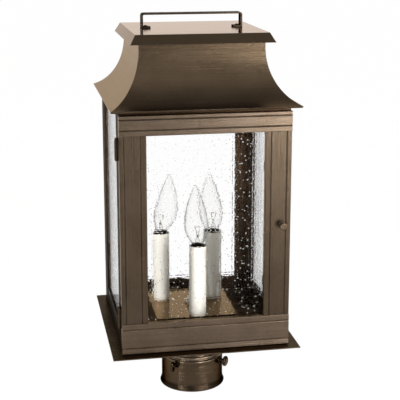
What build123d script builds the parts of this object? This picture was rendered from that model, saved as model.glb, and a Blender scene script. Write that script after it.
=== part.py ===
from build123d import *
import os
from math import acos, cos, degrees, pi, sin, sqrt

# A post lantern head: a square sheet-brass body with four glazed sides, a hinged front door,
# a concave pagoda roof with a flared cap and strap handle, three candle lamps on a raised pan,
# and a round collar below that slips over a 3 inch post and is held by four thumbscrews.
# Millimetres. The origin is the centre of the collar's bottom rim, +Z is up, the door faces -Y.

# Stock and clearances
sheet = 1.0
glass_thickness = 2.5
glass_overlap = 4.0
solder_gap = 0.05
running_gap = 0.05
roof_seat_gap = 0.2
bend_radius = 0.8

# Glass clips
clip_width = 12.0
clip_sheet = 0.8
clip_side_gap = 0.3
clip_places = (0.2, 0.8)

# Collar
post_bore = 80.0
collar_height = 84.4
collar_flare_width = 2.1
collar_flare_height = 8.4
collar_flare_round = 20.0
collar_rim_radius = 1.4
collar_flange = 9.0
stop_bead_heights = (42.9, 48.7)
stop_bead_width = 4.2
stop_bead_depth = 2.4
stop_bead_round = 0.8
stop_lip_round = 1.2

# Thumbscrews and the nuts that carry them
screw_height = 36.6
screw_radius = 2.5
screw_nut_radius = 4.6
screw_nut_length = 3.0
screw_tip_setback = 0.3
screw_head_reach = 8.0
screw_head_height = 13.6
screw_head_thickness = 3.2
screw_neck_length = 2.9
screw_names = ("front_left", "front_right", "back_right", "back_left")
screw_first_angle = -130.0
screw_head_turns = {"front_left": 90, "front_right": 68, "back_right": 35, "back_left": 140}

# Base plate
base_thickness = 1.2
base_overhang = 12.4

# Body frame
body_width = 210.8
frame_depth = 3.0
post_leg = 25.9
frame_outer_bead = 6.3
frame_inner_bead = 7.5
rail_setback = 1.0
bottom_rail_height = 25.0
top_rail_drop = 13.0
groove_width = 2.0
groove_depth = 0.9

# Door
door_depth = 7.0
door_gap = 0.5
door_floor_gap = 0.6
stile_width = 32.8
stile_setback = 1.0
stile_outer_bead = 6.0
stile_inner_bead = 7.2
door_bottom_rail_height = 39.4
door_bottom_rail_upper_bead = 7.9
door_bottom_rail_lower_bead = 7.3
door_top_rail_height = 24.7
door_top_rail_upper_bead = 5.0
door_top_rail_lower_bead = 6.9
door_light_height = 234.6
stop_clear = 6.5
stop_flange = 8.0

# Hinges
hinge_radius = 2.2
hinge_pin_radius = 1.0
hinge_length = 25.4
hinge_stand = 0.3
lower_hinge_rise = -5.0
upper_hinge_drop = 3.4
hinge_leaf_width = 12.0
hinge_leaf_thickness = 1.0
hinge_end_gap = 0.3
pin_tip_height = 1.2

# Latch
knob_groove_clear = 5.3
knob_height = 243.2
knob_radius = 4.6
knob_reach = 10.5
knob_disc = 3.4
spindle_radius = 2.0
bush_radius = 3.6
tongue_length = 8.0
tongue_width = 5.0
tongue_thickness = 1.5
tongue_clear = 1.0
latch_play = 0.3

# Roof, cap and handle
eave_overhang = 10.2
eave_gap = 7.0
eave_hem = 5.0
roof_curve_width = 54.8
roof_curve_height = 71.2
neck_width = 154.6
neck_straight = 16.4
cap_width = 163.2
cap_skirt = 11.5
cap_flare_width = 6.6
handle_length = 128.6
handle_rise = 19.0
handle_width = 12.7
handle_thickness = 2.2
handle_foot = 11.5
handle_bend = 3.6
rivet_radius = 1.6
rivet_head_radius = 3.2
rivet_head_height = 1.6

# Lamp cluster
pan_width = 105.0
pan_height = 24.4
cluster_x = -1.9
candle_places = {"front": (0.0, -41.8), "right": (32.4, 20.5), "left": (-37.8, 24.5)}
sleeve_diameter = 21.8
sleeve_wall = 0.8
sleeve_length = 93.0
nipple_radius = 4.9
nipple_wall = 1.4
nut_across_flats = 14.0
nut_thickness = 3.5
bracket_boss_height = 4.0
bracket_boss_radius = 7.5
bracket_strip = 1.2
bracket_width = 9.0
socket_radius = 8.5
socket_length = 42.0
socket_drop = 4.0
grommet_offset = 22.0
grommet_bore = 8.0
grommet_neck = 12.0
grommet_flange = 2.0
grommet_flange_height = 2.0

# Bulbs
bulb_base_radius = 5.95
bulb_base_length = 20.0
bulb_base_wall = 0.5
bulb_base_rise = 1.5
bulb_contact_radius = 3.0
bulb_contact_height = 2.5
bulb_seat_gap = 0.3
bulb_thread_gap = 0.15
bulb_neck_depth = 8.0
bulb_belly_radius = 15.5
bulb_belly_height = 26.0
bulb_height = 84.0
bulb_glass = 0.7
bulb_tip_sharpness = 0.9
bulb_swell_sharpness = 1.4
bulb_swell_shares = (0, 0.3, 0.65, 1)
bulb_taper_shares = (0.25, 0.5, 0.7, 0.85, 0.94)
bulb_tip_lean = {"front": (-2.9, 0.0), "right": (-5.7, -1.0), "left": (11.2, -1.0)}
stem_height = 15.0
stem_top_radius = 1.5
filament_height = 27.0
filament_spread = 3.4
filament_radius = 0.35

# Levels and faces that follow from the sizes above
half = body_width / 2
collar_radius = post_bore / 2 + sheet
base_top = collar_height + base_thickness
base_half = half + base_overhang
door_front = -half
door_back = door_front + door_depth
frame_front = door_back + door_gap
door_bottom = base_top + door_floor_gap
light_bottom = door_bottom + door_bottom_rail_height
light_top = light_bottom + door_light_height
door_top = light_top + door_top_rail_height
light_half = half - stile_width
eave_height = door_top + eave_gap
eave_half = half + eave_overhang
neck_half = neck_width / 2
roof_turn = acos(1 - (eave_half - neck_half) / roof_curve_width)
neck_bottom = eave_height + roof_curve_height * sin(roof_turn)
cap_under = neck_bottom + neck_straight
cap_top = cap_under + sheet
rail_top = base_top + bottom_rail_height
top_rail_bottom = eave_height - top_rail_drop
knob_inset = stile_outer_bead + knob_groove_clear
front_lip = knob_inset - tongue_width / 2 - tongue_clear
door_glass_top = light_top + glass_overlap
door_glass_bottom = light_bottom - glass_overlap
pan_top = base_top + pan_height
sleeve_top = pan_top + sleeve_length
socket_top = sleeve_top - socket_drop
socket_bottom = socket_top - socket_length
bulb_base_top = socket_top + bulb_base_rise
bulb_base_bottom = bulb_base_top - bulb_base_length
contact_bottom = bulb_base_bottom - bulb_contact_height
hinge_x = -half - hinge_stand - hinge_radius
hinge_y = (door_back + frame_front) / 2
hinge_levels = (light_bottom + lower_hinge_rise, light_top - upper_hinge_drop - hinge_length)
stile_front = door_front + stile_setback
door_leaf_width = door_back - stile_front - sheet
knob_x = half - knob_inset
tongue_front = frame_front + sheet + latch_play
tongue_back = tongue_front + tongue_thickness
side_back = half - post_leg
side_front = frame_front + post_leg
pane_face = half - frame_depth
pane_back = pane_face - glass_thickness
pane_low = rail_top - glass_overlap
pane_high = top_rail_bottom + glass_overlap
rivet_places = [side * (handle_length - handle_foot) / 2 for side in (-1, 1)]
screw_angles = {
    name: screw_first_angle + 360 * index / len(screw_names) for index, name in enumerate(screw_names)
}

os.makedirs("parts", exist_ok=True)


def save(name, *solids):
    """Writes one named piece, or a group of like solids, to its own file."""
    shape = solids[0] if len(solids) == 1 else Compound(children=list(solids))
    export_step(shape, f"parts/{name}.step")


def block(low, high):
    """A box between two opposite corners."""
    size = [b - a for a, b in zip(low, high)]
    return Pos(*low) * Box(*size, align=(Align.MIN, Align.MIN, Align.MIN))


def rod(radius, bottom, top):
    """An upright cylinder on the Z axis."""
    return Pos(0, 0, bottom) * Cylinder(radius, top - bottom, align=(Align.CENTER, Align.CENTER, Align.MIN))


def tube(outer, inner, bottom, top):
    """An upright tube on the Z axis."""
    return rod(outer, bottom, top) - rod(inner, bottom - sheet, top + sheet)


def sheet_face(path, thickness):
    """Section of a bent sheet: the path is its outer face, and the sheet lies to the path's left."""
    points = [Vector(*point) for point in path]
    runs = [(b - a).normalized() for a, b in zip(points, points[1:])]
    sides = [Vector(-run.Y, run.X) for run in runs]
    inner = [points[0] + sides[0] * thickness]
    for point, before, after in zip(points[1:], sides, sides[1:]):
        inner.append(point + (before + after) * (thickness / (1 + before.dot(after))))
    inner.append(points[-1] + sides[-1] * thickness)
    return make_face(Polyline(*points, *reversed(inner), close=True))


def soften(face, corners, radius):
    """Rounds the corners of a section that lie nearest to the given points."""
    def nearest(corner):
        return min(face.vertices(), key=lambda vertex: (Vector(vertex) - Vector(*corner)).length)
    return fillet([nearest(corner) for corner in corners], radius)


def groove(at):
    """Three points of a pressed V groove across a face that runs along X."""
    return [(at - groove_width / 2, 0), (at, groove_depth), (at + groove_width / 2, 0)]


def moulding_face(width, depth, beads):
    """Section of a channel moulding: X across its face, Y into the body, a groove inside each bead."""
    first, last = beads
    path = [(0, depth), (0, 0), *groove(first), *groove(width - last), (width, 0), (width, depth)]
    return soften(sheet_face(path, sheet), [(0, 0), (width, 0)], bend_radius)


def upright(face, origin, length):
    """Extrudes a section upwards from a point, with its Y axis along +Y."""
    return Pos(*origin) * extrude(face, amount=length)


def along(face, origin, run, length):
    """Extrudes a section along a level direction, with the section's X axis pointing up."""
    plane = Plane(origin=origin, x_dir=(0, 0, 1), z_dir=run)
    return plane.location * extrude(face, amount=length)


def roof_point(turn, layer):
    """A point of the roof's oval section: an angle round from the neck, and a depth below the outer face."""
    out = neck_half + roof_curve_width - (roof_curve_width + layer) * cos(turn)
    return (out, neck_bottom - (roof_curve_height + layer) * sin(turn))


def roof_arc(start, end, layer):
    """Arc of the roof's section between two angles at one depth."""
    centre = (neck_half + roof_curve_width, neck_bottom)
    radii = (roof_curve_width + layer, roof_curve_height + layer)
    return EllipticalCenterArc(centre, *radii, 180 + degrees(start), arc_size=degrees(end - start))


def under_roof():
    """The room below the roof sheet, used to cut the frame's tops to the roof's curve."""
    layer = sheet + roof_seat_gap
    lip = (half + eave_half) / 2
    lip_turn = acos((neck_half + roof_curve_width - lip) / (roof_curve_width + layer))
    top, lip_point = roof_point(0, layer), roof_point(lip_turn, layer)
    right = [Line((lip, 0), lip_point), roof_arc(lip_turn, 0, layer), Line(top, (0, neck_bottom))]
    room = make_face(right + [Line((0, neck_bottom), (0, 0)), Line((0, 0), (lip, 0))])
    slab = extrude(Plane.XZ * (room + mirror(room, about=Plane.YZ)), amount=eave_half, both=True)
    return slab & (Rot(0, 0, 90) * slab)


roof_room = under_roof()


def make_collar():
    """Spun collar: flared rim with a wired edge, two rolled stop beads and a flange under the base plate."""
    start = -sheet
    flare_run = collar_flare_width * (collar_flare_height - start) / collar_flare_height
    valleys = [(collar_radius - stop_bead_depth, height) for height in stop_bead_heights]
    lips = [(collar_radius, height - stop_bead_width / 2) for height in stop_bead_heights]
    lips += [(collar_radius, height + stop_bead_width / 2) for height in stop_bead_heights]
    path = [(collar_radius + flare_run, start), (collar_radius, collar_flare_height)]
    path += sorted(valleys + lips, key=lambda point: point[1])
    path += [(collar_radius, collar_height - sheet), (collar_radius + collar_flange, collar_height - sheet)]
    face = soften(sheet_face(path, sheet), valleys, stop_bead_round)
    face = soften(face, lips, stop_lip_round)
    face = soften(face, [path[1]], collar_flare_round)
    ring = revolve(Plane.XZ * face, Axis.Z)
    ring -= block((-half, -half, -half), (half, half, collar_rim_radius))
    rim_centre = collar_radius + collar_flare_width - collar_rim_radius
    ring += revolve(Plane.XZ * Pos(rim_centre, collar_rim_radius) * Circle(collar_rim_radius), Axis.Z)
    for angle in screw_angles.values():
        hole = Cylinder(screw_radius + running_gap, 4 * sheet, rotation=(0, 90, 0))
        ring -= Rot(0, 0, angle) * Pos(collar_radius - sheet / 2, 0, screw_height) * hole
    return ring


def radial(solid, angle):
    """Turns a solid that points along +X to a thumbscrew's place round the collar."""
    return Rot(0, 0, angle) * Pos(0, 0, screw_height) * solid


def lying_rod(radius, start, end):
    """A cylinder along X between two distances from the collar's axis."""
    return Pos((start + end) / 2, 0, 0) * Cylinder(radius, end - start, rotation=(0, 90, 0))


def make_screw_nut():
    """Round nut on the collar's wall, hollowed to sit on it."""
    end = collar_radius + screw_nut_length
    nut = lying_rod(screw_nut_radius, collar_radius - 2 * sheet, end)
    nut -= lying_rod(screw_radius + running_gap, 0, end + sheet)
    return nut - Cylinder(collar_radius + solder_gap, 4 * screw_nut_radius)


def make_thumbscrew(turn):
    """Thumbscrew with a flat oval head, at rest with its tip just short of the bore."""
    tip = post_bore / 2 + screw_tip_setback
    neck = collar_radius + screw_nut_length + screw_neck_length
    centre = neck + screw_head_reach / 2
    screw = lying_rod(screw_radius, tip, centre)
    outline = Ellipse(screw_head_reach / 2, screw_head_height / 2)
    plate = extrude(outline, amount=screw_head_thickness / 2, both=True)
    screw += Pos(centre, 0, 0) * fillet(plate.edges(), screw_head_thickness / 4)
    return Rot(turn, 0, 0) * screw


def make_base_plate():
    """Flat square plate with holes for the lamp stem and the wire grommet."""
    plate = block((-base_half, -base_half, collar_height), (base_half, base_half, base_top))
    plate -= Pos(cluster_x, 0, 0) * rod(nipple_radius + running_gap, 0, base_top + sheet)
    return plate - Pos(0, grommet_offset, 0) * rod(grommet_neck / 2, 0, base_top + sheet)


def make_grommet():
    """Rubber bush in the base plate where the supply wires come up."""
    flange = grommet_neck / 2 + grommet_flange
    bush = rod(grommet_neck / 2 - running_gap, collar_height, base_top)
    bush += rod(flange, collar_height - grommet_flange_height, collar_height)
    bush += rod(flange, base_top, base_top + grommet_flange_height)
    bush -= rod(grommet_bore / 2, 0, base_top + 2 * grommet_flange_height)
    return Pos(0, grommet_offset, 0) * bush


def grooved_leg(length):
    """A post leg's face from its free edge to the corner, along X, with its two grooves."""
    return [(0, 0), *groove(frame_inner_bead), *groove(length - frame_outer_bead), (length, 0)]


def make_back_post():
    """Back right corner post: a bent angle with grooved faces and an inward return at each edge."""
    side = [(half - y, half - post_leg + x) for x, y in grooved_leg(post_leg)]
    rear = [(y, x) for x, y in side]
    start = (half - frame_depth, half - post_leg)
    end = (half - post_leg, half - frame_depth)
    path = [start, *side, *reversed(rear[:-1]), end]
    corners = [side[0], side[-1], rear[0]]
    face = soften(sheet_face(path, sheet), corners, bend_radius)
    return upright(face, (0, 0, base_top), cap_under - base_top) & roof_room


def make_front_post():
    """Front right corner post: a grooved side leg and a narrow lip that the door closes against."""
    side = [(half - y, frame_front + post_leg - x) for x, y in grooved_leg(post_leg)]
    lip = (half - front_lip, frame_front)
    start = (half - frame_depth, frame_front + post_leg)
    path = [lip, *reversed(side), start]
    face = soften(sheet_face(path, sheet), [side[0], side[-1]], bend_radius)
    return upright(face, (0, 0, base_top), cap_under - base_top) & roof_room


def bottom_rail_face():
    """Section of a fixed side's bottom rail, a plain channel."""
    depth = frame_depth - rail_setback
    path = [(0, depth), (0, 0), (bottom_rail_height, 0), (bottom_rail_height, depth)]
    return soften(sheet_face(path, sheet), [(bottom_rail_height, 0)], bend_radius)


def top_rail_face():
    """Section of a fixed side's top rail: a return below and a tall web that the roof trims."""
    path = [(0, frame_depth - rail_setback), (0, 0), (cap_under - top_rail_bottom, 0)]
    return soften(sheet_face(path, sheet), [(0, 0)], bend_radius)


def make_side_rail(face, level):
    """A rail between the posts of the right side."""
    return along(face, (half - rail_setback, side_back, level), (0, -1, 0), side_back - side_front)


def make_back_rail(face, level):
    """A rail between the back posts."""
    return along(face, (-side_back, half - rail_setback, level), (1, 0, 0), 2 * side_back)


def make_front_stop(low, high, flange_at_top):
    """Front header or sill: a strip behind the door, between the post lips, with one flange."""
    reach = half - front_lip
    flange_level = high - sheet if flange_at_top else low
    strip = block((-reach, frame_front, low), (reach, frame_front + sheet, high))
    flange_back = frame_front + stop_flange
    flange = block((-reach, frame_front, flange_level), (reach, flange_back, flange_level + sheet))
    return (strip + flange) & roof_room


def make_side_pane():
    """Glass of the right side, behind the returns of its posts and rails."""
    low = (pane_back, side_front - glass_overlap, pane_low)
    return block(low, (pane_face, side_back + glass_overlap, pane_high))


def make_back_pane():
    """Glass of the back."""
    reach = side_back + glass_overlap
    return block((-reach, pane_back, pane_low), (reach, pane_face, pane_high))


def clip(face_gap):
    """Bent glass clip: X across the pane's edge outwards, Y from its foot to behind the pane."""
    edge = clip_side_gap + clip_sheet
    path = [(edge, 0), (edge, face_gap + clip_sheet), (-glass_overlap, face_gap + clip_sheet)]
    return extrude(sheet_face(path, clip_sheet), amount=clip_width)


def clip_levels(low, high):
    """Heights of the two clips on each upright edge of a pane."""
    return [low + share * (high - low) - clip_width / 2 for share in clip_places]


def make_frame_clips():
    """Clips of the three fixed panes, soldered inside the posts."""
    depth = frame_depth - sheet + glass_thickness
    back_edge = side_back + glass_overlap
    front_edge = side_front - glass_overlap
    foot = half - sheet
    clips = []
    for level in clip_levels(pane_low, pane_high):
        side_rear = Pos(foot, back_edge, level) * Rot(0, 0, 90) * clip(depth)
        side_fore = mirror(Rot(0, 0, 90) * clip(depth), about=Plane.XZ)
        rear = mirror(clip(depth), about=Plane.XZ)
        placed = [side_rear, Pos(foot, front_edge, level) * side_fore, Pos(back_edge, foot, level) * rear]
        for piece in placed:
            clips += [piece, mirror(piece, about=Plane.YZ)]
    return clips


def make_roof_panel():
    """Right roof panel: a curved sheet between mitred hips, hemmed at the eave and upright under the cap."""
    turn_length = sqrt((roof_curve_width * sin(roof_turn)) ** 2 + (roof_curve_height * cos(roof_turn)) ** 2)
    hem_turn = roof_turn - eave_hem / turn_length
    inner = neck_half - sheet
    edge = [
        roof_arc(roof_turn, 0, 0),
        Line((neck_half, neck_bottom), (neck_half, cap_under)),
        Line((neck_half, cap_under), (inner, cap_under)),
        Line((inner, cap_under), (inner, neck_bottom)),
        roof_arc(0, hem_turn, sheet),
        Line(roof_point(hem_turn, sheet), roof_point(hem_turn, 2 * sheet)),
        roof_arc(hem_turn, roof_turn, 2 * sheet),
        Line(roof_point(roof_turn, 2 * sheet), roof_point(roof_turn, 0)),
    ]
    strip = extrude(Plane.XZ * make_face(edge), amount=eave_half, both=True)
    wedge = make_face(Polyline((solder_gap, 0), (half + eave_half, half + eave_half - solder_gap),
                               (half + eave_half, -half - eave_half + solder_gap), close=True))
    return strip & extrude(wedge, amount=cap_top)


def frustum(bottom_half, bottom, top_half, top):
    """A square frustum on the Z axis."""
    low = Pos(0, 0, bottom) * Rectangle(2 * bottom_half, 2 * bottom_half)
    high = Pos(0, 0, top) * Rectangle(2 * top_half, 2 * top_half)
    return loft([low, high])


def make_cap():
    """Folded cap: a flat plate with a skirt that flares down and out over the roof's neck."""
    top_half = cap_width / 2
    slope = cap_flare_width / cap_skirt
    wall = sheet * sqrt(1 + slope ** 2)
    bottom = cap_top - cap_skirt
    outer = frustum(top_half + cap_flare_width, bottom, top_half, cap_top)
    under_half = top_half + slope * sheet - wall
    inner = frustum(under_half + slope * (cap_under - bottom), bottom, under_half, cap_under)
    cap = outer - inner
    for place in rivet_places:
        cap -= Pos(place, 0, 0) * rod(rivet_radius + running_gap, cap_under - sheet, cap_top + sheet)
    return cap


def make_handle():
    """Carrying strap bent to a low hoop, its feet turned in on the cap."""
    reach = handle_length / 2
    top = cap_top + handle_rise
    path = [(reach - handle_foot, cap_top), (reach, cap_top), (reach, top)]
    path += [(-x, z) for x, z in reversed(path)]
    face = sheet_face(path, handle_thickness)
    inner_reach = reach - handle_thickness
    inner_top = top - handle_thickness
    face = soften(face, [(reach, top), (-reach, top)], handle_bend)
    face = soften(face, [(inner_reach, inner_top), (-inner_reach, inner_top)], handle_bend - handle_thickness)
    strap = extrude(Plane.XZ * face, amount=handle_width / 2, both=True)
    for place in rivet_places:
        strap -= Pos(place, 0, 0) * rod(rivet_radius + running_gap, 0, cap_top + 2 * handle_thickness)
    return strap


def make_rivet():
    """Domed rivet through a handle foot and the cap plate."""
    seat = cap_top + handle_thickness
    shank = rod(rivet_radius, cap_under - rivet_head_height, seat)
    upset = rod(rivet_head_radius, cap_under - rivet_head_height, cap_under)
    dome_radius = (rivet_head_radius ** 2 + rivet_head_height ** 2) / (2 * rivet_head_height)
    ball = Pos(0, 0, seat + rivet_head_height - dome_radius) * Sphere(dome_radius)
    dome = ball & rod(2 * rivet_head_radius, seat, seat + rivet_head_height)
    return shank + upset + dome


def make_pan():
    """Raised square pan over the wiring, with a hole for each lamp nipple and the stem."""
    reach = pan_width / 2
    pan = block((-reach, -reach, base_top), (reach, reach, pan_top))
    inner = reach - sheet
    pan -= block((-inner, -inner, 0), (inner, inner, pan_top - sheet))
    pan = Pos(cluster_x, 0, 0) * pan
    hole = rod(nipple_radius + running_gap, pan_top - 2 * sheet, pan_top + sheet)
    for x, y in [(cluster_x, 0), *candle_places.values()]:
        pan -= Pos(x, y, 0) * hole
    return pan


def make_nipple(bottom, top):
    """Threaded hollow nipple."""
    return tube(nipple_radius, nipple_radius - nipple_wall, bottom, top)


def make_lock_nut(bottom):
    """Hexagon lock nut for a nipple."""
    blank = extrude(RegularPolygon(nut_across_flats / 2, 6, major_radius=False), amount=nut_thickness)
    return Pos(0, 0, bottom) * blank - rod(nipple_radius + running_gap, 0, bottom + 2 * nut_thickness)


def make_bracket():
    """Socket bracket: a threaded boss on the pan and a strip that carries the socket's foot."""
    boss_top = pan_top + bracket_boss_height
    face_x = nipple_radius + sheet
    half_width = bracket_width / 2
    bracket = rod(bracket_boss_radius, pan_top, boss_top)
    bracket -= rod(nipple_radius + running_gap, 0, boss_top + sheet)
    bracket += block((face_x, -half_width, pan_top), (face_x + bracket_strip, half_width, socket_bottom))
    tab_end = -face_x
    tab_low = socket_bottom - bracket_strip
    tab = block((tab_end, -half_width, tab_low), (face_x + bracket_strip, half_width, socket_bottom))
    return bracket + tab


def make_socket():
    """Moulded candle lampholder with a screw bore for the bulb's base."""
    body = rod(socket_radius, socket_bottom, socket_top)
    bore = rod(bulb_base_radius + bulb_thread_gap, contact_bottom - bulb_seat_gap, socket_top + sheet)
    return body - bore


def make_sleeve():
    """Candle sleeve that slips over the socket and stands on the pan."""
    radius = sleeve_diameter / 2
    return tube(radius, radius - sleeve_wall, pan_top, sleeve_top)


def bulb_radius(height):
    """Flame outline: a smooth swell from the neck to the belly, then a cosine taper to the tip."""
    neck = bulb_base_radius - bulb_base_wall - running_gap
    if height <= bulb_belly_height:
        swell = sin(pi / 2 * height / bulb_belly_height) ** bulb_swell_sharpness
        return neck + (bulb_belly_radius - neck) * swell
    taper = (height - bulb_belly_height) / (bulb_height - bulb_belly_height)
    return bulb_belly_radius * cos(pi / 2 * taper) ** bulb_tip_sharpness


def bulb_form(lean, inset):
    """Lofted flame form that leans sideways from its neck, set in from the glass face by an inset."""
    taper_length = bulb_height - bulb_belly_height
    heights = [share * bulb_belly_height for share in bulb_swell_shares]
    heights += [bulb_belly_height + share * taper_length for share in bulb_taper_shares]
    sections = []
    for height in heights:
        bend = 1 - (1 - height / bulb_height) ** 2
        place = Pos(lean[0] * bend, lean[1] * bend, bulb_base_top + height)
        sections.append(place * Circle(bulb_radius(height) - inset))
    tip = place * Sphere(bulb_radius(height) - inset)
    return loft(sections) + tip


def make_bulb_glass(lean):
    """Clear glass envelope, open where its neck is cemented into the base."""
    neck_bottom_level = bulb_base_top - bulb_neck_depth
    neck = tube(bulb_radius(0), bulb_radius(0) - bulb_glass, neck_bottom_level, bulb_base_top)
    return bulb_form(lean, 0) - bulb_form(lean, bulb_glass) + neck


def make_bulb_base():
    """Brass screw base: a cup for the glass neck, closed below by the contact."""
    base = rod(bulb_base_radius, bulb_base_bottom, bulb_base_top)
    floor = bulb_base_top - bulb_neck_depth
    base -= rod(bulb_base_radius - bulb_base_wall, floor, bulb_base_top + sheet)
    return base + rod(bulb_contact_radius, contact_bottom, bulb_base_bottom)


def make_filament():
    """Glass stem with two lead wires and the filament across them."""
    foot_radius = bulb_radius(0) - bulb_glass - running_gap
    foot = bulb_base_top - bulb_neck_depth
    stem_top = bulb_base_top + stem_height
    stem = rod(foot_radius, foot, bulb_base_top)
    stem += Pos(0, 0, bulb_base_top + stem_height / 2) * Cone(foot_radius, stem_top_radius, stem_height)
    wire_top = bulb_base_top + filament_height
    for side in (-1, 1):
        low = (0, 0, stem_top - stem_top_radius)
        high = (side * filament_spread, 0, wire_top)
        stem += wire(low, high)
    return stem + wire((-filament_spread, 0, wire_top), (filament_spread, 0, wire_top))


def wire(start, end):
    """A straight round wire with ball ends."""
    path = Line(start, end)
    body = sweep(Plane(origin=start, z_dir=path % 0) * Circle(filament_radius), path)
    return body + Pos(*start) * Sphere(filament_radius) + Pos(*end) * Sphere(filament_radius)


def at_candle(name, solid):
    """Moves a solid from the axis to one candle's place."""
    x, y = candle_places[name]
    return Pos(x, y, 0) * solid


def make_door_rail(height, beads, level):
    """Door rail across the full width, closed at both ends by turned-in end walls."""
    lower_bead, upper_bead = beads
    rail = along(moulding_face(height, door_depth, (lower_bead, upper_bead)), (half, door_front, level),
                 (-1, 0, 0), body_width)
    for end in (-half, half - sheet):
        rail += block((end, door_front + bend_radius, level + bend_radius),
                      (end + sheet, door_back, level + height - bend_radius))
    return rail


def make_stile():
    """Door stile between the two rails, on the right."""
    face = moulding_face(stile_width, door_depth - stile_setback, (stile_inner_bead, stile_outer_bead))
    return upright(face, (light_half, stile_front, light_bottom), door_light_height)


def make_spindle_hole():
    """Cutter for the latch spindle's hole in the right stile."""
    return latch_rod(spindle_radius + running_gap, door_front - sheet, door_back + sheet)


def latch_rod(radius, start, end):
    """A cylinder along Y on the latch's axis."""
    place = Pos(knob_x, (start + end) / 2, knob_height)
    return place * Cylinder(radius, end - start, rotation=(90, 0, 0))


def make_door_pane():
    """Door glass behind the rails and stiles."""
    reach = light_half + glass_overlap
    return block((-reach, door_back, door_glass_bottom), (reach, door_back + glass_thickness, door_glass_top))


def make_door_clips():
    """Clips of the door glass, soldered inside the stiles."""
    foot = stile_front + sheet
    depth = door_back + glass_thickness - foot
    clips = []
    for level in clip_levels(door_glass_bottom, door_glass_top):
        piece = Pos(light_half + glass_overlap, foot, level) * clip(depth)
        clips += [piece, mirror(piece, about=Plane.YZ)]
    return clips


def knuckle_spans(bottom):
    """Lower, middle and upper knuckle of one hinge, each a pair of heights."""
    length = (hinge_length - 2 * hinge_end_gap) / 3
    starts = [bottom + index * (length + hinge_end_gap) for index in range(3)]
    return [(start, start + length) for start in starts]


def hinge_rod(radius, low, high):
    """An upright cylinder on the hinge axis."""
    return Pos(hinge_x, hinge_y, 0) * rod(radius, low, high)


def make_leaf(bottom, kept, width):
    """Hinge leaf on the left face with its own knuckles, cut clear of the other leaf's."""
    plate_x = -half - hinge_leaf_thickness
    ends = sorted([hinge_y, hinge_y + width])
    leaf = block((plate_x, ends[0], bottom), (-half, ends[1], bottom + hinge_length))
    for index, (low, high) in enumerate(knuckle_spans(bottom)):
        if index in kept:
            leaf += hinge_rod(hinge_radius, low, high)
        else:
            leaf -= hinge_rod(hinge_radius + hinge_stand, low - hinge_end_gap, high + hinge_end_gap)
    return leaf - hinge_rod(hinge_pin_radius + running_gap, bottom - sheet, bottom + hinge_length + sheet)


def make_hinge_pin(bottom):
    """Hinge pin with a wider rounded tip at each end."""
    top = bottom + hinge_length
    pin = hinge_rod(hinge_pin_radius, bottom, top)
    tip_radius = (hinge_pin_radius + hinge_radius) / 2
    pin += hinge_rod(tip_radius, bottom - pin_tip_height, bottom)
    return pin + hinge_rod(tip_radius, top, top + pin_tip_height)


def make_bush():
    """Bush in the right stile that carries the latch spindle."""
    bush = latch_rod(bush_radius, stile_front + sheet, door_back)
    return bush - latch_rod(spindle_radius + running_gap, door_front, door_back + sheet)


def make_knob():
    """Latch knob with its spindle, shoulder and the riveted inner end."""
    face = stile_front - latch_play
    tip = stile_front - knob_reach
    knob = latch_rod(spindle_radius, tip + knob_disc / 2, tongue_back)
    disc = latch_rod(knob_radius, tip, tip + knob_disc)
    knob += fillet(disc.edges(), knob_disc / 4)
    knob += latch_rod(bush_radius, face - sheet, face)
    return knob + latch_rod(spindle_radius + sheet / 2, tongue_back, tongue_back + sheet)


def make_tongue():
    """Latch tongue, hanging down at rest and turned behind the right post's lip to hold the door."""
    reach = tongue_width / 2
    low = (knob_x - reach, tongue_front, knob_height - tongue_length)
    tongue = block(low, (knob_x + reach, tongue_back, knob_height))
    tongue += latch_rod(reach, tongue_front, tongue_back)
    return tongue - latch_rod(spindle_radius + running_gap / 2, frame_front, tongue_back + sheet)


def save_frame():
    """Collar, base, posts, rails and the three fixed panes."""
    save("post_collar", make_collar())
    save("collar_screw_nuts", *[radial(make_screw_nut(), angle) for angle in screw_angles.values()])
    save("base_plate", make_base_plate())
    save("wire_grommet", make_grommet())
    back_post = make_back_post()
    front_post = make_front_post()
    bottom_rail = make_side_rail(bottom_rail_face(), base_top)
    top_rail = make_side_rail(top_rail_face(), top_rail_bottom) & roof_room
    pane = make_side_pane()
    rights = {
        "corner_post_back": back_post,
        "corner_post_front": front_post,
        "bottom_rail": bottom_rail,
        "top_rail": top_rail,
        "glass": pane,
    }
    for name, solid in rights.items():
        save(f"{name}_right", solid)
        save(f"{name}_left", mirror(solid, about=Plane.YZ))
    save("bottom_rail_back", make_back_rail(bottom_rail_face(), base_top))
    save("top_rail_back", make_back_rail(top_rail_face(), top_rail_bottom) & roof_room)
    save("glass_back", make_back_pane())
    save("front_header", make_front_stop(door_glass_top + stop_clear, cap_under, False))
    save("front_sill", make_front_stop(base_top, door_glass_bottom - stop_clear, True))
    save("glass_clips", *make_frame_clips())


def save_roof():
    """Roof panels, cap, handle and its rivets."""
    panel = make_roof_panel()
    for name, turn in {"right": 0, "back": 90, "left": 180, "front": 270}.items():
        save(f"roof_panel_{name}", Rot(0, 0, turn) * panel)
    save("roof_cap", make_cap())
    save("carry_handle", make_handle())
    save("handle_rivets", *[Pos(place, 0, 0) * make_rivet() for place in rivet_places])


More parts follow.
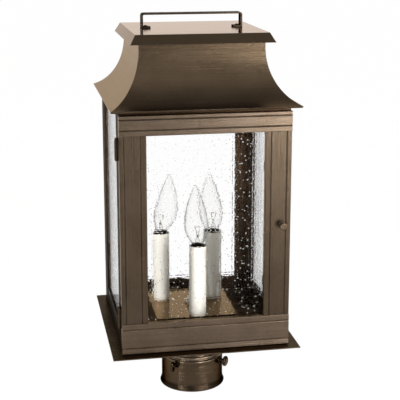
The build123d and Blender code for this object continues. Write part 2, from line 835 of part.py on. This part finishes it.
def save_lamps():
    """Pan, its nipples and nuts, and the three candles with their bulbs."""
    save("socket_pan", make_pan())
    stem = Pos(cluster_x, 0, 0) * make_nipple(collar_height - 2 * nut_thickness, pan_top + 2 * nut_thickness)
    short = make_nipple(pan_top - 2 * nut_thickness, pan_top + bracket_boss_height)
    save("threaded_nipples", stem, *[at_candle(name, short) for name in candle_places])
    under_pan = make_lock_nut(pan_top - sheet - nut_thickness)
    nut_levels = (collar_height - nut_thickness, pan_top)
    centre_nuts = [Pos(cluster_x, 0, 0) * make_lock_nut(level) for level in nut_levels]
    save("lock_nuts", *centre_nuts, *[at_candle(name, under_pan) for name in candle_places])
    save("socket_brackets", *[at_candle(name, make_bracket()) for name in candle_places])
    save("lamp_sockets", *[at_candle(name, make_socket()) for name in candle_places])
    for name in candle_places:
        save(f"candle_sleeve_{name}", at_candle(name, make_sleeve()))
        save(f"bulb_glass_{name}", at_candle(name, make_bulb_glass(bulb_tip_lean[name])))
        save(f"bulb_base_{name}", at_candle(name, make_bulb_base()))
        save(f"bulb_filament_{name}", at_candle(name, make_filament()))


def save_door():
    """Door, hinges and latch."""
    bottom_beads = (door_bottom_rail_lower_bead, door_bottom_rail_upper_bead)
    top_beads = (door_top_rail_lower_bead, door_top_rail_upper_bead)
    save("door_bottom_rail", make_door_rail(door_bottom_rail_height, bottom_beads, door_bottom))
    save("door_top_rail", make_door_rail(door_top_rail_height, top_beads, light_top))
    stile = make_stile()
    save("door_stile_left", mirror(stile, about=Plane.YZ))
    save("door_stile_right", stile - make_spindle_hole())
    save("door_glass", make_door_pane())
    save("door_glass_clips", *make_door_clips())
    save("hinge_leaves_door", *[make_leaf(level, (1,), -door_leaf_width) for level in hinge_levels])
    save("hinge_leaves_frame", *[make_leaf(level, (0, 2), hinge_leaf_width) for level in hinge_levels])
    save("hinge_pins", *[make_hinge_pin(level) for level in hinge_levels])
    save("latch_bush", make_bush())
    save("latch_knob", make_knob())
    save("latch_tongue", make_tongue())


def save_thumbscrews():
    """Four thumbscrews, each head turned as it happened to be tightened."""
    for name, angle in screw_angles.items():
        save(f"thumbscrew_{name}", radial(make_thumbscrew(screw_head_turns[name]), angle))


save_frame()
save_roof()
save_lamps()
save_door()
save_thumbscrews()
print("eave", eave_height, "cap top", cap_top, "handle top", cap_top + handle_rise)
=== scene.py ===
import bpy
import math
import numpy as np
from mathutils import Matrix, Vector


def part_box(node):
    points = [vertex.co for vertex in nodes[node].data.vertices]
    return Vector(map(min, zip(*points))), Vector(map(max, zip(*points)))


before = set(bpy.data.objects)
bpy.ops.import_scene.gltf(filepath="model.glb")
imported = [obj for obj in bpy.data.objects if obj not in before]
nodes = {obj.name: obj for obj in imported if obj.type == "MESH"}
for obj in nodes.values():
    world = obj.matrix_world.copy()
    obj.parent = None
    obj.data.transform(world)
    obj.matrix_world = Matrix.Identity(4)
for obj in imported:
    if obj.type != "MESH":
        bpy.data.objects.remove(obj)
scene = bpy.context.scene
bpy.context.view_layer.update()  # refresh the scene after the nodes were moved into world space
print("lantern: frame loaded with", len(nodes), "nodes")


# Shader wiring: a Wire is one output socket, and arithmetic on it adds Math nodes.
class Wire:
    def __init__(self, finish, socket):
        self.finish = finish
        self.socket = socket

    def math(self, operation, *values):
        return self.finish.node("ShaderNodeMath", {"operation": operation}, dict(enumerate(values)))

    def __add__(self, other):
        return self.math("ADD", self, other)

    def __radd__(self, other):
        return self.math("ADD", other, self)

    def __sub__(self, other):
        return self.math("SUBTRACT", self, other)

    def __rsub__(self, other):
        return self.math("SUBTRACT", other, self)

    def __mul__(self, other):
        return self.math("MULTIPLY", self, other)

    def __rmul__(self, other):
        return self.math("MULTIPLY", other, self)

    def __pow__(self, other):
        return self.math("POWER", self, other)

    def __rpow__(self, other):
        return self.math("POWER", other, self)

    def most(self, other):
        return self.math("MAXIMUM", self, other)

    def least(self, other):
        return self.math("MINIMUM", self, other)

    def size(self):
        return self.math("ABSOLUTE", self)


class Finish:
    def __init__(self, name, owner=None):
        self.owner = owner or bpy.data.materials.new(name)
        self.owner.use_nodes = True
        self.tree = self.owner.node_tree
        self.tree.nodes.clear()

    # one node: its type, its settings, the values or links of its sockets, and which output is wanted
    def node(self, kind, settings=None, inputs=None, out=0):
        made = self.tree.nodes.new(kind)
        for key, value in (settings or {}).items():
            setattr(made, key, value)
        for key, value in (inputs or {}).items():
            if isinstance(value, Wire):
                self.tree.links.new(value.socket, made.inputs[key])
            else:
                made.inputs[key].default_value = value
        return Wire(self, made.outputs[out]) if made.outputs else None

    # Object coordinates, scaled per axis in repeats per metre
    def place(self, scale=(1, 1, 1), shift=(0, 0, 0)):
        coords = self.node("ShaderNodeTexCoord", out="Object")
        return self.node("ShaderNodeMapping", None, {"Vector": coords, "Scale": scale, "Location": shift})

    # one part of a vector: X, Y or Z
    def part(self, vector, axis):
        return self.node("ShaderNodeSeparateXYZ", None, {0: vector}, axis)

    def noise(self, vector, detail=2.0, roughness=0.5, scale=1.0):
        inputs = {"Vector": vector, "Scale": scale, "Detail": detail, "Roughness": roughness}
        return self.node("ShaderNodeTexNoise", None, inputs)

    # 0 below the low value, 1 above the high one, with soft ends
    def ease(self, value, low, high):
        settings = {"interpolation_type": "SMOOTHSTEP"}
        return self.node("ShaderNodeMapRange", settings, {0: value, 1: low, 2: high, 3: 0.0, 4: 1.0})

    def blend(self, mask, first, second):
        return self.node("ShaderNodeMix", {"data_type": "RGBA"}, {0: mask, 6: first, 7: second}, 2)

    def bump(self, height, distance, normal=None):
        inputs = {"Height": height, "Distance": distance, "Strength": 1.0}
        if normal is not None:
            inputs["Normal"] = normal
        return self.node("ShaderNodeBump", None, inputs)

    # 0 where the surface faces the eye, 1 where it turns away
    def away(self):
        return self.node("ShaderNodeLayerWeight", None, {"Blend": 0.5}, "Facing")

    # 1 on rays from the eye, also on those that have only passed glass
    def straight(self):
        seen = self.node("ShaderNodeLightPath", out="Is Camera Ray")
        through = self.node("ShaderNodeLightPath", out="Is Transmission Ray")
        scattered = self.node("ShaderNodeLightPath", out="Diffuse Depth").least(1)
        return seen.most(through * (1 - scattered) * (1 - self.mirrored()))

    # 1 on rays that metal or glass has mirrored
    def mirrored(self):
        return self.node("ShaderNodeLightPath", out="Glossy Depth").least(1)

    def principled(self, inputs):
        return self.node("ShaderNodeBsdfPrincipled", None, inputs)

    def mixed(self, share, first, second):
        return self.node("ShaderNodeMixShader", None, {0: share, 1: first, 2: second})

    def show(self, shader):
        self.node("ShaderNodeOutputMaterial", None, {"Surface": shader})
        return self.owner


def rgb(red, green, blue):
    return (red, green, blue, 1.0)


looks = {}  # every finish under its name

# Antique brass: brown patina, satin brushed along one axis, dark in the hollows with patina wax and painted
# shade, paler on the edges with wear and a painted highlight.
# Lengths and heights are in metres, and a pair is where a change starts and where it is full.
brass = {
    "deep": rgb(0.123, 0.084, 0.050),
    "bright": rgb(0.186, 0.132, 0.085),
    "groove": rgb(0.016, 0.010, 0.006),
    "rubbedHighlight": rgb(0.470, 0.380, 0.290),
    "inside": rgb(0.052, 0.031, 0.018),
    "dustAndSheen": rgb(0.485, 0.395, 0.340),
    "along": 4.5,               # streaks per metre along the brushing
    "across": 620.0,            # and across it
    "hairsAlong": 9.0,          # the same for the fine hairs
    "hairsAcross": 2790.0,
    "turned": 4.0,              # repeats per metre round a turned piece, which carries rings
    "cloud": 24.0,              # clouds of patina per metre
    "streakSwing": 0.7,         # how far streaks and clouds move the tone
    "cloudSwing": 1.2,
    "faceUp": (0.90, 0.99),     # upward part of the normal, for the pale top: dust, and a painted reflection of the pale sky
    "dustSheenShare": 0.75,              # share of that pale top, and what the clouds add
    "dustSheenSwing": 0.5,
    "edgeBlur": 0.0004,         # width of the change from the outer face to the inner one
    "shelter": (0.30, 0.80),    # openness of a hollow, over which the dark wax and painted shade fade
    "hollow": 0.0025,           # reach of the wax and painted shade in hollows
    "waxShadeShare": 0.85,
    "grooveHalf": (0.00032, 0.00080),  # half width of a pressed line, darkened with wax and painted shade
    "grooveWax": 0.5,
    "bevel": 0.0007,            # radius of a rounded edge, also the width of its paler band
    "edgeTurn": (0.86, 0.995),  # agreement of the rounded normal with the face
    "edgePatch": (0.3, 0.6),    # clouds in which the edges are paler: wear and painted highlight
    "edgeRubHighlight": 0.35,
    "roughness": 0.28,
    "hairRough": 0.08,          # what hairs, clouds and wax add to it
    "cloudRough": 0.10,
    "waxRough": 0.25,
    "hair": 0.00010,            # depth of the brush hairs
    "lean": 0.12,               # slope of the hem under the door, which faces up a little
}
# Height zones of the spun collar: the flare is darkened, painted shade that dims the lamps' reflections
# there, and the beads of the post's stop are paler: rubbed metal, and a painted highlight that whitens their
# glints.
spunZones = [
    {"rise": (0.0008, 0.0022), "fall": (0.0065, 0.0110), "share": 0.75, "paintedTone": "groove"},
    {"rise": (0.0395, 0.0408), "fall": (0.0508, 0.0522), "share": 0.55, "paintedTone": "rubbedHighlight"},
]
# Tint of the metal at a glancing angle, chosen per piece to lighten or darken its reflections: painted light
# and shade. The plate's keeps the brown as it is where it is seen from low down.
warmSheen = rgb(0.95, 0.80, 0.64)
capSheen = rgb(0.82, 0.68, 0.56)
plateSheen = rgb(0.310, 0.350, 0.385)
darkSheen = rgb(0.085, 0.077, 0.068)


# axis is the way of the brushing, and shift moves the pattern. edge is the distance from the lantern's axis,
# to the nearer side, inside which the sheet's inner face is painted dark, painted shade. grooves gives the
# places of pressed lines along an axis, and hem the height under which the sheet leans. The scale of the
# tones lightens or darkens
# each piece: painted light and shade. polish scales the roughness, comb the depth of the hairs, and hollow
# is the reach of the wax and painted shade.
def makeBrass(name, axis, shift, edge=None, grooves=(), spun=False, dustAndSheenTop=False, paintedLightScale=1.0, sheen=warmSheen,
              polish=1.0, comb=1.0, hem=None, hollow=brass["hollow"]):
    fin = Finish(name)
    wide = [brass["across"]] * 3
    fine = [brass["hairsAcross"]] * 3
    if spun:  # only the height counts
        wide[:2] = fine[:2] = [brass["turned"]] * 2
    else:
        wide[axis] = brass["along"]
        fine[axis] = brass["hairsAlong"]
    streak = fin.noise(fin.place(wide, shift), detail=3.0, roughness=0.6) - 0.5
    hairs = fin.noise(fin.place(fine, shift), detail=1.0)
    patina = fin.noise(fin.place([brass["cloud"]] * 3, shift), detail=4.0, roughness=0.6)
    deep, bright = [rgb(*np.multiply(paintedLightScale, brass[tone][:3])) for tone in ("deep", "bright")]
    swing = 0.5 + streak * brass["streakSwing"] + (patina - 0.5) * brass["cloudSwing"]
    tone = fin.blend(swing, deep, bright)
    facing = fin.node("ShaderNodeNewGeometry", out="Normal")
    spot = [fin.part(fin.place(), out) for out in "XYZ"]
    if dustAndSheenTop:  # the flat top is paler: dust, and a painted reflection of the pale sky
        top = fin.ease(fin.part(facing, "Z"), *brass["faceUp"])
        tone = fin.blend(top * (brass["dustSheenShare"] + patina * brass["dustSheenSwing"]), tone, brass["dustAndSheen"])
    # inner faces, nearer the axis than edge, are painted dark: painted shade of the lantern's inside
    if edge:
        nearest = spot[0].size().most(spot[1].size())
        tone = fin.blend(1 - fin.ease(nearest, edge - brass["edgeBlur"], edge), tone, brass["inside"])
    # hollows, corners and joins that ambient occlusion finds are darkened: dark wax of the patina, and
    # painted shade
    clear = fin.node("ShaderNodeAmbientOcclusion", {"samples": 6}, {"Distance": hollow}, "AO")
    waxAndShade = 1 - fin.ease(clear, *brass["shelter"])
    # the pressed lines at the listed places are darkened too: wax and painted shade in the groove
    for across, places in grooves:
        for place in places:
            off = (spot[across].size() - place).size()
            waxAndShade = waxAndShade.most((1 - fin.ease(off, *brass["grooveHalf"])) * brass["grooveWax"])
    tone = fin.blend(waxAndShade * brass["waxShadeShare"], tone, brass["groove"])
    # height bands painted darker or paler: painted shade on the flare, painted highlight on the stop beads
    if spun:
        for zone in spunZones:
            within = fin.ease(spot[2], *zone["rise"]) * (1 - fin.ease(spot[2], *zone["fall"]))
            tone = fin.blend(within * zone["share"], tone, brass[zone["paintedTone"]])
    # edges are paler: handling wear, and a painted highlight where edges catch the light; the rounded normal
    # departs from the face there
    rounded = fin.node("ShaderNodeBevel", {"samples": 4}, {"Radius": brass["bevel"]})
    same = fin.node("ShaderNodeVectorMath", {"operation": "DOT_PRODUCT"}, {0: rounded, 1: facing}, "Value")
    wornAndHighlit = (1 - fin.ease(same, *brass["edgeTurn"])) * fin.ease(patina, *brass["edgePatch"]) * (1 - waxAndShade)
    tone = fin.blend(wornAndHighlit * brass["edgeRubHighlight"], tone, brass["rubbedHighlight"])
    uneven = (hairs - 0.5) * brass["hairRough"] + (patina - 0.5) * brass["cloudRough"]
    rough = (brass["roughness"] + uneven + waxAndShade * brass["waxRough"]) * polish
    if hem:
        rounded = fin.bump((hem - spot[2]).most(0), brass["lean"], rounded)
    normal = fin.bump(hairs, brass["hair"] * comb, rounded)
    shader = fin.principled({
        "Base Color": tone, "Metallic": 1.0, "Roughness": rough, "Specular Tint": sheen, "Normal": normal,
    })
    return fin.show(shader)


# Each piece's copy of the brass gets its own scale of tones and sheen, lighter or darker as light falls on
# that piece: painted light and shade.
brassFinishes = {
    "brassRail": {"axis": 0, "shift": (0.0, 0.0, 0.0), "edge": 0.1039, "paintedLightScale": (1.14, 1.20, 1.36),
                  "grooves": [(2, (0.0935, 0.1177, 0.3671, 0.3799))], "hem": 0.0930, "hollow": 0.0012},
    "brassSideRail": {"axis": 1, "shift": (0.3, 0.1, 0.2), "edge": 0.1039, "paintedLightScale": 0.6,
                      "sheen": plateSheen},
    "brassStile": {"axis": 2, "shift": (0.7, 0.5, 0.4), "edge": 0.1037, "paintedLightScale": (0.71, 0.74, 0.80),
                   "grooves": [(0, (0.0798, 0.0994))]},
    "brassPost": {"axis": 2, "shift": (0.2, 0.8, 0.5), "edge": 0.1049, "paintedLightScale": 0.6, "sheen": darkSheen},
    "brassBase": {"axis": 0, "shift": (0.6, 0.4, 0.9), "paintedLightScale": 0.75, "sheen": plateSheen},
    "brassRoof": {"axis": 0, "shift": (0.4, 0.6, 0.1), "paintedLightScale": 0.62},
    "brassRoofSide": {"axis": 1, "shift": (0.9, 0.3, 0.7), "paintedLightScale": 1.2, "polish": 1.15, "comb": 0.5},
    "brassPan": {"axis": 0, "shift": (0.8, 0.7, 0.3), "paintedLightScale": 0.85, "polish": 0.35, "comb": 0.3},
    "brassCap": {"axis": 0, "shift": (0.5, 0.2, 0.8), "paintedLightScale": 0.5, "sheen": capSheen, "polish": 0.45,
                 "comb": 0.2, "dustAndSheenTop": True},
    "brassSpun": {"axis": 2, "shift": (0.1, 0.9, 0.6), "paintedLightScale": 0.8, "sheen": darkSheen, "polish": 0.65,
                  "comb": 2.1, "spun": True},
    "brassStrap": {"axis": 0, "shift": (0.3, 0.5, 0.2), "paintedLightScale": 0.35, "sheen": darkSheen},
    "brassNut": {"axis": 2, "shift": (0.7, 0.1, 0.4), "paintedLightScale": 0.6, "sheen": darkSheen, "polish": 0.4,
                 "comb": 0.3},
}
for name, plan in brassFinishes.items():
    looks[name] = makeBrass(name, **plan)

# Clear glass, for panes and bulbs.
glassStock = {
    "ior": 1.3,
    "sheen": rgb(0.30, 0.23, 0.16),    # dulls what the glass mirrors
    "passed": rgb(0.93, 0.93, 0.93),   # light that gets through
}


def clearGlass(fin, tint, normal):
    return fin.principled({
        "Base Color": tint, "Roughness": 0.0, "IOR": glassStock["ior"], "Specular Tint": glassStock["sheen"],
        "Transmission Weight": 1.0, "Normal": normal,
    })


# Rays that only ask for shadow pass the glass, so that the lamps reach the inside.
def letLightIn(fin, shader):
    asking = fin.node("ShaderNodeLightPath", out="Is Shadow Ray")
    clear = fin.node("ShaderNodeBsdfTransparent", None, {"Color": glassStock["passed"]})
    return fin.mixed(asking, shader, clear)


# Seedy glass: clear sheet with close shallow dimples, slow waves and scattered seeds.
seedyGlass = {
    "tint": rgb(0.998, 0.998, 0.998),
    "dimple": 320.0,            # dimples per metre, and waves below
    "dimpleJumble": 0.3,        # 0 for even rows
    "dimpleDepth": 0.00014,
    "wave": 60.0,
    "waveDepth": 0.00008,
    "seed": 190.0,              # cells per metre, a seed where a cell's middle lies in the sheet
    "seedSize": (0.048, 0.16),  # share of a cell, from the seed's heart to its rim
    "seedDepth": 0.00040,
    "seedWhite": 0.80,          # share of the light that a seed scatters
    "seedTone": rgb(0.80, 0.78, 0.74),
}


def makeSeedyGlass(name):
    fin = Finish(name)
    at = fin.place()
    dimples = {"Vector": at, "Scale": seedyGlass["dimple"], "Randomness": seedyGlass["dimpleJumble"]}
    bowl = fin.node("ShaderNodeTexVoronoi", None, dimples)
    wave = fin.noise(at, detail=1.0, scale=seedyGlass["wave"])
    cell = fin.node("ShaderNodeTexVoronoi", None, {"Vector": at, "Scale": seedyGlass["seed"]})
    seed = 1 - fin.ease(cell, *seedyGlass["seedSize"])
    normal = fin.bump(bowl * bowl, seedyGlass["dimpleDepth"])
    normal = fin.bump(wave, seedyGlass["waveDepth"], normal)
    normal = fin.bump(seed, seedyGlass["seedDepth"], normal)
    bubble = fin.node("ShaderNodeBsdfDiffuse", None, {"Color": seedyGlass["seedTone"]})
    pane = fin.mixed(seed * seedyGlass["seedWhite"], clearGlass(fin, seedyGlass["tint"], normal), bubble)
    return fin.show(letLightIn(fin, pane))


looks["seedyGlass"] = makeSeedyGlass("seedyGlass")

# Bulb glass: clear, with drawn lines, with a painted dark outline where it turns away from the eye, and dark
# below the neck.
bulb = {
    "tint": rgb(0.985, 0.983, 0.975),
    "drawn": (70, 70, 25),      # drawn lines per metre
    "drawnDepth": 0.0002,
    "rimPower": 4.0,            # higher for a thinner painted dark rim
    "neck": (0.2035, 0.2055),   # heights over which the dark of the neck ends
    "rimAndNeckDark": rgb(0.10, 0.09, 0.08),
}


def makeBulbGlass(name):
    fin = Finish(name)
    drawn = fin.noise(fin.place(bulb["drawn"]))
    glass = clearGlass(fin, bulb["tint"], fin.bump(drawn, bulb["drawnDepth"]))
    neck = 1 - fin.ease(fin.part(fin.place(), "Z"), *bulb["neck"])
    rimAndNeckDark = fin.node("ShaderNodeBsdfTransparent", None, {"Color": bulb["rimAndNeckDark"]})
    # the turned-away rim is a painted dark outline; below the neck the glass is dark too
    blown = fin.mixed((fin.away() ** bulb["rimPower"]).most(neck), glass, rimAndNeckDark)
    return fin.show(letLightIn(fin, blown))


looks["bulbGlass"] = makeBulbGlass("bulbGlass")

# Bulb stem and wires: below its pinch a hollow glass stem with a painted dark outline where it turns away
# from the eye, above it dull dark wire.
stem = {
    "cloud": (700, 700, 700),   # clouds per metre
    "dark": rgb(0.030, 0.027, 0.024),
    "pale": rgb(0.10, 0.09, 0.08),
    "roughness": 0.4,
    "pinch": (0.2125, 0.2155),  # heights over which glass gives way to wire
    "outlinePower": 2.5,        # higher for a thinner painted outline
    "clear": rgb(0.93, 0.92, 0.90),
}


def makeStem(name):
    fin = Finish(name)
    cloud = fin.noise(fin.place(stem["cloud"]), detail=4.0, roughness=0.6)
    tone = fin.blend(cloud, stem["dark"], stem["pale"])
    wire = fin.principled({"Base Color": tone, "Roughness": stem["roughness"], "Metallic": 1.0})
    above = fin.ease(fin.part(fin.place(), "Z"), *stem["pinch"])
    clear = fin.node("ShaderNodeBsdfTransparent", None, {"Color": stem["clear"]})
    outlineAndWire = (fin.away() ** stem["outlinePower"] * (0.5 + cloud)).most(above)
    return fin.show(fin.mixed(outlineAndWire, clear, wire))


looks["stemGlass"] = makeStem("stemGlass")

# Candle sleeve: ivory card, faint runs of colour down its length, darkened brown at the foot, painted
# shadow, and dark down its mouth and bore, painted shade.
candleNames = ("front", "right", "left")
sleeve = {
    "run": (260, 260, 9),       # runs per metre
    "mottle": (60, 60, 60),
    "ivory": rgb(0.93, 0.90, 0.82),
    "runTone": rgb(0.88, 0.84, 0.74),
    "runSpread": (0.35, 0.75),
    "mottleTone": rgb(0.80, 0.74, 0.61),
    "mottleSpread": (0.5, 0.8),
    "mottleShare": 0.4,
    "foot": (0.110, 0.116),     # heights over which the painted shadow at the foot ends
    "footShadowTone": rgb(0.38, 0.28, 0.17),
    "footShadowShare": 0.5,
    "bore": (0.0104, 0.0108),   # radii over which the painted shade of the bore ends
    "mouth": (0.2024, 0.2029),  # heights over which the rim darkens, painted shade
    "mouthShare": 0.7,
    "mouthShadeTone": rgb(0.020, 0.015, 0.010),
    "runRelief": 0.6,           # parts of runs and mottle in the relief
    "mottleRelief": 0.4,
    "depth": 0.0003,
    "roughness": 0.42,
    "roughSwing": 0.2,
}


def makeSleeve(name, middle):
    fin = Finish(name)
    runs = fin.noise(fin.place(sleeve["run"]))
    mottle = fin.noise(fin.place(sleeve["mottle"]), detail=3.0, roughness=0.6)
    tone = fin.blend(fin.ease(runs, *sleeve["runSpread"]), sleeve["ivory"], sleeve["runTone"])
    spots = fin.ease(mottle, *sleeve["mottleSpread"]) * sleeve["mottleShare"]
    tone = fin.blend(spots, tone, sleeve["mottleTone"])
    height = fin.part(fin.place(), "Z")
    # the foot is darkened: painted shadow
    foot = 1 - fin.ease(height, *sleeve["foot"])
    tone = fin.blend(foot * sleeve["footShadowShare"], tone, sleeve["footShadowTone"])
    # the bore and the mouth are darkened: painted shade down the tube
    flat = fin.place((1, 1, 0), (-middle[0], -middle[1], 0))
    reach = fin.node("ShaderNodeVectorMath", {"operation": "LENGTH"}, {0: flat}, "Value")
    bore = 1 - fin.ease(reach, *sleeve["bore"])
    mouth = fin.ease(height, *sleeve["mouth"]) * sleeve["mouthShare"]
    tone = fin.blend(bore.most(mouth), tone, sleeve["mouthShadeTone"])
    relief = runs * sleeve["runRelief"] + mottle * sleeve["mottleRelief"]
    normal = fin.bump(relief, sleeve["depth"])
    rough = sleeve["roughness"] + (mottle - 0.5) * sleeve["roughSwing"]
    return fin.show(fin.principled({"Base Color": tone, "Roughness": rough, "Normal": normal}))


for name in candleNames:
    low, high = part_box("candle_sleeve_" + name)
    looks["sleeve_" + name] = makeSleeve("sleeve_" + name, (low + high) / 2)

# Plain small finishes: two tones clouded together, metal or not. scale is clouds per metre.
clouds = {"spread": (0.35, 0.65), "roughSwing": 0.2, "depth": 0.00005}
plainFinishes = {
    "socketBlack": {"first": rgb(0.024, 0.021, 0.018), "second": rgb(0.045, 0.040, 0.035),
                    "scale": 300, "roughness": 0.45, "metallic": 0.0},
    "zincSteel": {"first": rgb(0.46, 0.44, 0.39), "second": rgb(0.62, 0.60, 0.54),
                  "scale": 240, "roughness": 0.34, "metallic": 1.0},
    "grommetRubber": {"first": rgb(0.020, 0.020, 0.020), "second": rgb(0.045, 0.044, 0.042),
                      "scale": 500, "roughness": 0.7, "metallic": 0.0},
    "bulbBrass": {"first": rgb(0.07, 0.05, 0.03), "second": rgb(0.14, 0.11, 0.06),
                  "scale": 260, "roughness": 0.36, "metallic": 1.0},
}


def makeClouded(name, first, second, scale, roughness, metallic):
    fin = Finish(name)
    cloud = fin.noise(fin.place([scale] * 3), detail=4.0, roughness=0.6)
    tone = fin.blend(fin.ease(cloud, *clouds["spread"]), first, second)
    rough = roughness + (cloud - 0.5) * clouds["roughSwing"]
    normal = fin.bump(cloud, clouds["depth"])
    shader = fin.principled({"Base Color": tone, "Roughness": rough, "Metallic": metallic, "Normal": normal})
    return fin.show(shader)


for name, plan in plainFinishes.items():
    looks[name] = makeClouded(name, **plan)

# Which nodes wear which finish.
corners = ("front_left", "front_right", "back_left", "back_right")
wearers = {
    "brassRail": ["bottom_rail_back", "top_rail_back", "front_header", "front_sill", "glass_clips",
                  "door_bottom_rail", "door_top_rail", "door_glass_clips"],
    "brassSideRail": ["bottom_rail_left", "bottom_rail_right", "top_rail_left", "top_rail_right"],
    "brassStile": ["door_stile_left", "door_stile_right"],
    "brassPost": ["corner_post_" + corner for corner in corners],
    "brassBase": ["base_plate"],
    "brassRoof": ["roof_panel_front", "roof_panel_back"],
    "brassRoofSide": ["roof_panel_left", "roof_panel_right"],
    "brassPan": ["socket_pan"],
    "brassCap": ["roof_cap"],
    "brassSpun": ["post_collar", "latch_knob", "latch_bush"],
    "brassStrap": ["carry_handle", "handle_rivets", "latch_tongue"],
    "brassNut": ["collar_screw_nuts", "hinge_pins", "hinge_leaves_frame", "hinge_leaves_door",
                 *["thumbscrew_" + corner for corner in corners]],
    "seedyGlass": ["glass_left", "glass_right", "glass_back", "door_glass"],
    "bulbGlass": ["bulb_glass_" + name for name in candleNames],
    "stemGlass": ["bulb_filament_" + name for name in candleNames],
    "bulbBrass": ["bulb_base_" + name for name in candleNames],
    "socketBlack": ["lamp_sockets"],
    "zincSteel": ["threaded_nipples", "lock_nuts", "socket_brackets"],
    "grommetRubber": ["wire_grommet"],
}
for name in candleNames:
    wearers["sleeve_" + name] = ["candle_sleeve_" + name]
for look, names in wearers.items():
    for name in names:
        nodes[name].data.materials.clear()
        nodes[name].data.materials.append(looks[look])
print("lantern: finishes on", sum(map(len, wearers.values())), "nodes")

# Floor: pale under and behind the lantern, darker further out in front, painted shade standing in for the
# unlit room that the metal mirrors there; white where it is the background.
floorPlan = {
    "half": 14.0,               # half its width
    "drop": 0.0004,             # below the collar's rim
    "steps": 29,                # points along a side
    "pale": rgb(0.86, 0.86, 0.86),
    # painted shade: the darker floor in front, which the metal mirrors
    "front": rgb(0.55, 0.54, 0.53),
    "grain": 3.0,
    "grainSwing": 0.05,
    "change": (-0.30, 0.10),    # depths over which front turns pale
    "mirrorChange": (-0.2, 0.4),  # and over which metal mirrors it as white
    "white": 1.075,             # with the share it comes to about 1, and the rest takes the lantern's shadow
    "share": 0.92,
}


# A flat grid: x runs along the columns, y along the rows, and each cell of four points is a quad.
def makeFloorPiece(name, material):
    line = np.linspace(-floorPlan["half"], floorPlan["half"], floorPlan["steps"])
    grid = np.stack(np.broadcast_arrays(line[None, :], line[:, None], -floorPlan["drop"]), -1)
    index = np.arange(line.size ** 2).reshape(line.size, line.size)
    quads = np.stack([index[:-1, :-1], index[:-1, 1:], index[1:, 1:], index[1:, :-1]], -1)
    mesh = bpy.data.meshes.new(name)
    mesh.from_pydata(grid.reshape(-1, 3).tolist(), [], quads.reshape(-1, 4).tolist())
    mesh.materials.append(material)
    piece = bpy.data.objects.new(name, mesh)
    scene.collection.objects.link(piece)
    return piece


def makeFloorLook(name):
    fin = Finish(name)
    at = fin.place()
    grain = fin.noise(at, scale=floorPlan["grain"])
    depth = fin.part(at, "Y")
    behind = fin.ease(depth + (grain - 0.5) * floorPlan["grainSwing"], *floorPlan["change"])
    tone = fin.blend(behind, floorPlan["front"], floorPlan["pale"])
    lit = fin.principled({"Base Color": tone, "Roughness": 0.8, "Specular IOR Level": 0.0})
    mirrored = fin.mirrored() * fin.ease(depth, *floorPlan["mirrorChange"])
    glow = fin.node("ShaderNodeEmission", None, {"Color": rgb(1, 1, 1), "Strength": floorPlan["white"]})
    return fin.show(fin.mixed(fin.straight().most(mirrored) * floorPlan["share"], lit, glow))


floor = makeFloorPiece("floor", makeFloorLook("paleFloor"))

# Room: white to the eye and through glass. Metal mirrors it dim in front and overhead, brighter halfway up,
# and white at the back.
room = {
    "ambient": 0.05,
    "front": 0.22,
    "high": 0.95,
    "top": 0.34,
    "rise": (0.0, 0.6),         # upward part of the direction, from front to high
    "fall": (0.6, 0.97),        # and from high to top
    "back": (0.15, 0.7),        # backward part, up to white
    "bounce": rgb(1.0, 0.86, 0.68),
}
scene.world = bpy.data.worlds.new("studio")
sky = Finish("studio", scene.world)
way = sky.node("ShaderNodeTexCoord", out="Generated")
wayUp = sky.part(way, "Z")
mirrorLevel = room["front"] + sky.ease(wayUp, *room["rise"]) * (room["high"] - room["front"])
mirrorLevel = mirrorLevel - sky.ease(wayUp, *room["fall"]) * (room["high"] - room["top"])
mirrorLevel = mirrorLevel + sky.ease(sky.part(way, "Y"), *room["back"]) * (1 - mirrorLevel)
level = room["ambient"] + sky.mirrored() * (mirrorLevel - room["ambient"])
level = level + sky.straight() * (1 - level)
hue = sky.blend(sky.straight().most(sky.mirrored()), room["bounce"], rgb(1, 1, 1))
backdrop = sky.node("ShaderNodeBackground", None, {"Color": hue, "Strength": level})
sky.node("ShaderNodeOutputWorld", None, {"Surface": backdrop})

# Soft lamps, each a rectangle of light aimed at the lantern's middle. Angles in degrees, power in watts.
lampAim = 0.25  # height of that middle
lampDistance = 1.6
lamps = {
    "keyRight": {"azimuth": 28.5, "elevation": 7, "width": 0.36, "height": 0.70, "power": 15},
    "fillLeft": {"azimuth": -48, "elevation": 11, "width": 0.25, "height": 0.70, "power": 11},
}
for name, plan in lamps.items():
    data = bpy.data.lights.new(name, "AREA")
    data.shape = "RECTANGLE"
    data.size = plan["width"]
    data.size_y = plan["height"]
    data.energy = plan["power"]
    lamp = bpy.data.objects.new(name, data)
    turn = math.radians(plan["azimuth"])
    lift = math.radians(plan["elevation"])
    out = lampDistance * math.cos(lift)
    lamp.location = (out * math.sin(turn), -out * math.cos(turn), lampAim + lampDistance * math.sin(lift))
    lamp.rotation_euler = (math.pi / 2 - lift, 0, turn)
    scene.collection.objects.link(lamp)
print("lantern: floor, room and lamps set")

# Camera: fitted to the corners of the body in the photograph.
lens = {
    "place": (-0.23133, -1.31662, 0.60516),
    "yaw": -10.43,
    "pitch": 13.07,
    "picture": 400,             # width and height in pixels, as the next two are
    "focal": 1054.88,
    "middle": 168.0,            # row of the optical axis
    "sensor": 36.0,
}
cameraData = bpy.data.cameras.new("camera")
cameraData.sensor_width = lens["sensor"]
cameraData.lens = lens["focal"] / lens["picture"] * lens["sensor"]
cameraData.shift_y = lens["middle"] / lens["picture"] - 0.5
camera = bpy.data.objects.new("camera", cameraData)
camera.location = lens["place"]
camera.rotation_euler = (math.radians(90 - lens["pitch"]), 0, math.radians(lens["yaw"]))
scene.collection.objects.link(camera)
scene.camera = camera
scene.view_settings.view_transform = "Standard"

print("lantern: done")
